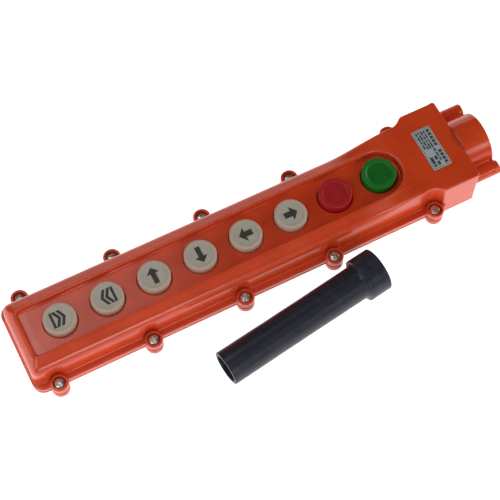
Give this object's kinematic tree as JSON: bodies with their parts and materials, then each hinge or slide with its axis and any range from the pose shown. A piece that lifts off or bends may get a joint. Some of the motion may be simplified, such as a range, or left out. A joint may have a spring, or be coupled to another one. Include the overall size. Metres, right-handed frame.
{
  "type": "pendant control station",
  "caption": "Hand-held hoist control: long two-part orange housing with a row of sprung push buttons in a sunk tray, cable neck and loose rubber boot.",
  "frame": {"origin": "on the flat rear face, under the middle of the button row", "axes": "+X along the button row towards the head and cable neck, +Y across the housing, +Z out of the front"},
  "size_m": [0.3949, 0.1388, 0.0444],
  "materials": {
    "housing_plastic": "orange-red moulded plastic, semi-gloss with soft edges",
    "gasket_rubber": "matt grey sheet rubber",
    "plate_metal": "satin printed plate",
    "screw_steel": "nickel plated",
    "dark_screw": "blackened",
    "earth_brass": "plain brass",
    "cream_plastic": "aged cream, satin",
    "red_plastic": "deep red, satin",
    "green_plastic": "deep green, satin",
    "seal_rubber": "matt",
    "spring_steel": "drawn wire",
    "contact_plastic": "phenolic black",
    "boot_rubber": "near-black, slightly bloomed"
  },
  "bodies": {
    "housing": {"front_cover": "housing_plastic", "rear_cover": "housing_plastic", "cable_cap": "housing_plastic", "cover_gasket": "gasket_rubber", "cap_gasket": "gasket_rubber", "label_plate": "plate_metal", "cover_screw_near_1": "screw_steel", "cover_screw_far_1": "screw_steel", "cover_screw_near_2": "screw_steel", "cover_screw_far_2": "screw_steel", "cover_screw_near_3": "screw_steel", "cover_screw_far_3": "screw_steel", "cover_screw_near_4": "screw_steel", "cover_screw_far_4": "screw_steel", "cover_screw_near_5": "screw_steel", "cover_screw_far_5": "screw_steel", "cord_grip_screw_near": "screw_steel", "cord_grip_screw_far": "screw_steel", "cord_grip_bar": "screw_steel", "cap_screw_near": "dark_screw", "cap_screw_far": "dark_screw", "earth_screw": "earth_brass", "button_seal_1": "seal_rubber", "button_seal_2": "seal_rubber", "button_seal_3": "seal_rubber", "button_seal_4": "seal_rubber", "button_seal_5": "seal_rubber", "button_seal_6": "seal_rubber", "button_seal_7": "seal_rubber", "button_seal_8": "seal_rubber", "return_spring_1": "spring_steel", "return_spring_2": "spring_steel", "return_spring_3": "spring_steel", "return_spring_4": "spring_steel", "return_spring_5": "spring_steel", "return_spring_6": "spring_steel", "return_spring_7": "spring_steel", "return_spring_8": "spring_steel", "contact_block_1": "contact_plastic", "contact_block_2": "contact_plastic", "contact_block_3": "contact_plastic", "contact_block_4": "contact_plastic"},
    "button_north_body": {"button_north": "cream_plastic", "contact_plunger_1": "contact_plastic"},
    "button_south_body": {"button_south": "cream_plastic", "contact_plunger_2": "contact_plastic"},
    "button_west_body": {"button_west": "cream_plastic", "contact_plunger_3": "contact_plastic"},
    "button_east_body": {"button_east": "cream_plastic", "contact_plunger_4": "contact_plastic"},
    "button_down_body": {"button_down": "cream_plastic", "contact_plunger_5": "contact_plastic"},
    "button_up_body": {"button_up": "cream_plastic", "contact_plunger_6": "contact_plastic"},
    "button_stop_body": {"button_stop": "red_plastic", "contact_plunger_7": "contact_plastic"},
    "button_start_body": {"button_start": "green_plastic", "contact_plunger_8": "contact_plastic"},
    "boot": {"cable_boot": "boot_rubber"}
  },
  "joints": [
    {"name": "press_north", "type": "slide", "parent": "housing", "child": "button_north_body", "axis": [0, 0, -1], "range_m": [0, 0.004], "stiffness_N_per_m": 900, "springref_m": -0.003, "deforming": ["return_spring_1"]},
    {"name": "press_south", "type": "slide", "parent": "housing", "child": "button_south_body", "axis": [0, 0, -1], "range_m": [0, 0.004], "stiffness_N_per_m": 900, "springref_m": -0.003, "deforming": ["return_spring_2"]},
    {"name": "press_west", "type": "slide", "parent": "housing", "child": "button_west_body", "axis": [0, 0, -1], "range_m": [0, 0.004], "stiffness_N_per_m": 900, "springref_m": -0.003, "deforming": ["return_spring_3"]},
    {"name": "press_east", "type": "slide", "parent": "housing", "child": "button_east_body", "axis": [0, 0, -1], "range_m": [0, 0.004], "stiffness_N_per_m": 900, "springref_m": -0.003, "deforming": ["return_spring_4"]},
    {"name": "press_down", "type": "slide", "parent": "housing", "child": "button_down_body", "axis": [0, 0, -1], "range_m": [0, 0.004], "stiffness_N_per_m": 900, "springref_m": -0.003, "deforming": ["return_spring_5"]},
    {"name": "press_up", "type": "slide", "parent": "housing", "child": "button_up_body", "axis": [0, 0, -1], "range_m": [0, 0.004], "stiffness_N_per_m": 900, "springref_m": -0.003, "deforming": ["return_spring_6"]},
    {"name": "press_stop", "type": "slide", "parent": "housing", "child": "button_stop_body", "axis": [0, 0, -1], "range_m": [0, 0.004], "stiffness_N_per_m": 900, "springref_m": -0.003, "deforming": ["return_spring_7"]},
    {"name": "press_start", "type": "slide", "parent": "housing", "child": "button_start_body", "axis": [0, 0, -1], "range_m": [0, 0.004], "stiffness_N_per_m": 900, "springref_m": -0.003, "deforming": ["return_spring_8"]},
    {"name": "lift_boot", "type": "slide", "parent": "housing", "child": "boot", "axis": [0, 0, 1], "range_m": [0, 0.15]}
  ]
}
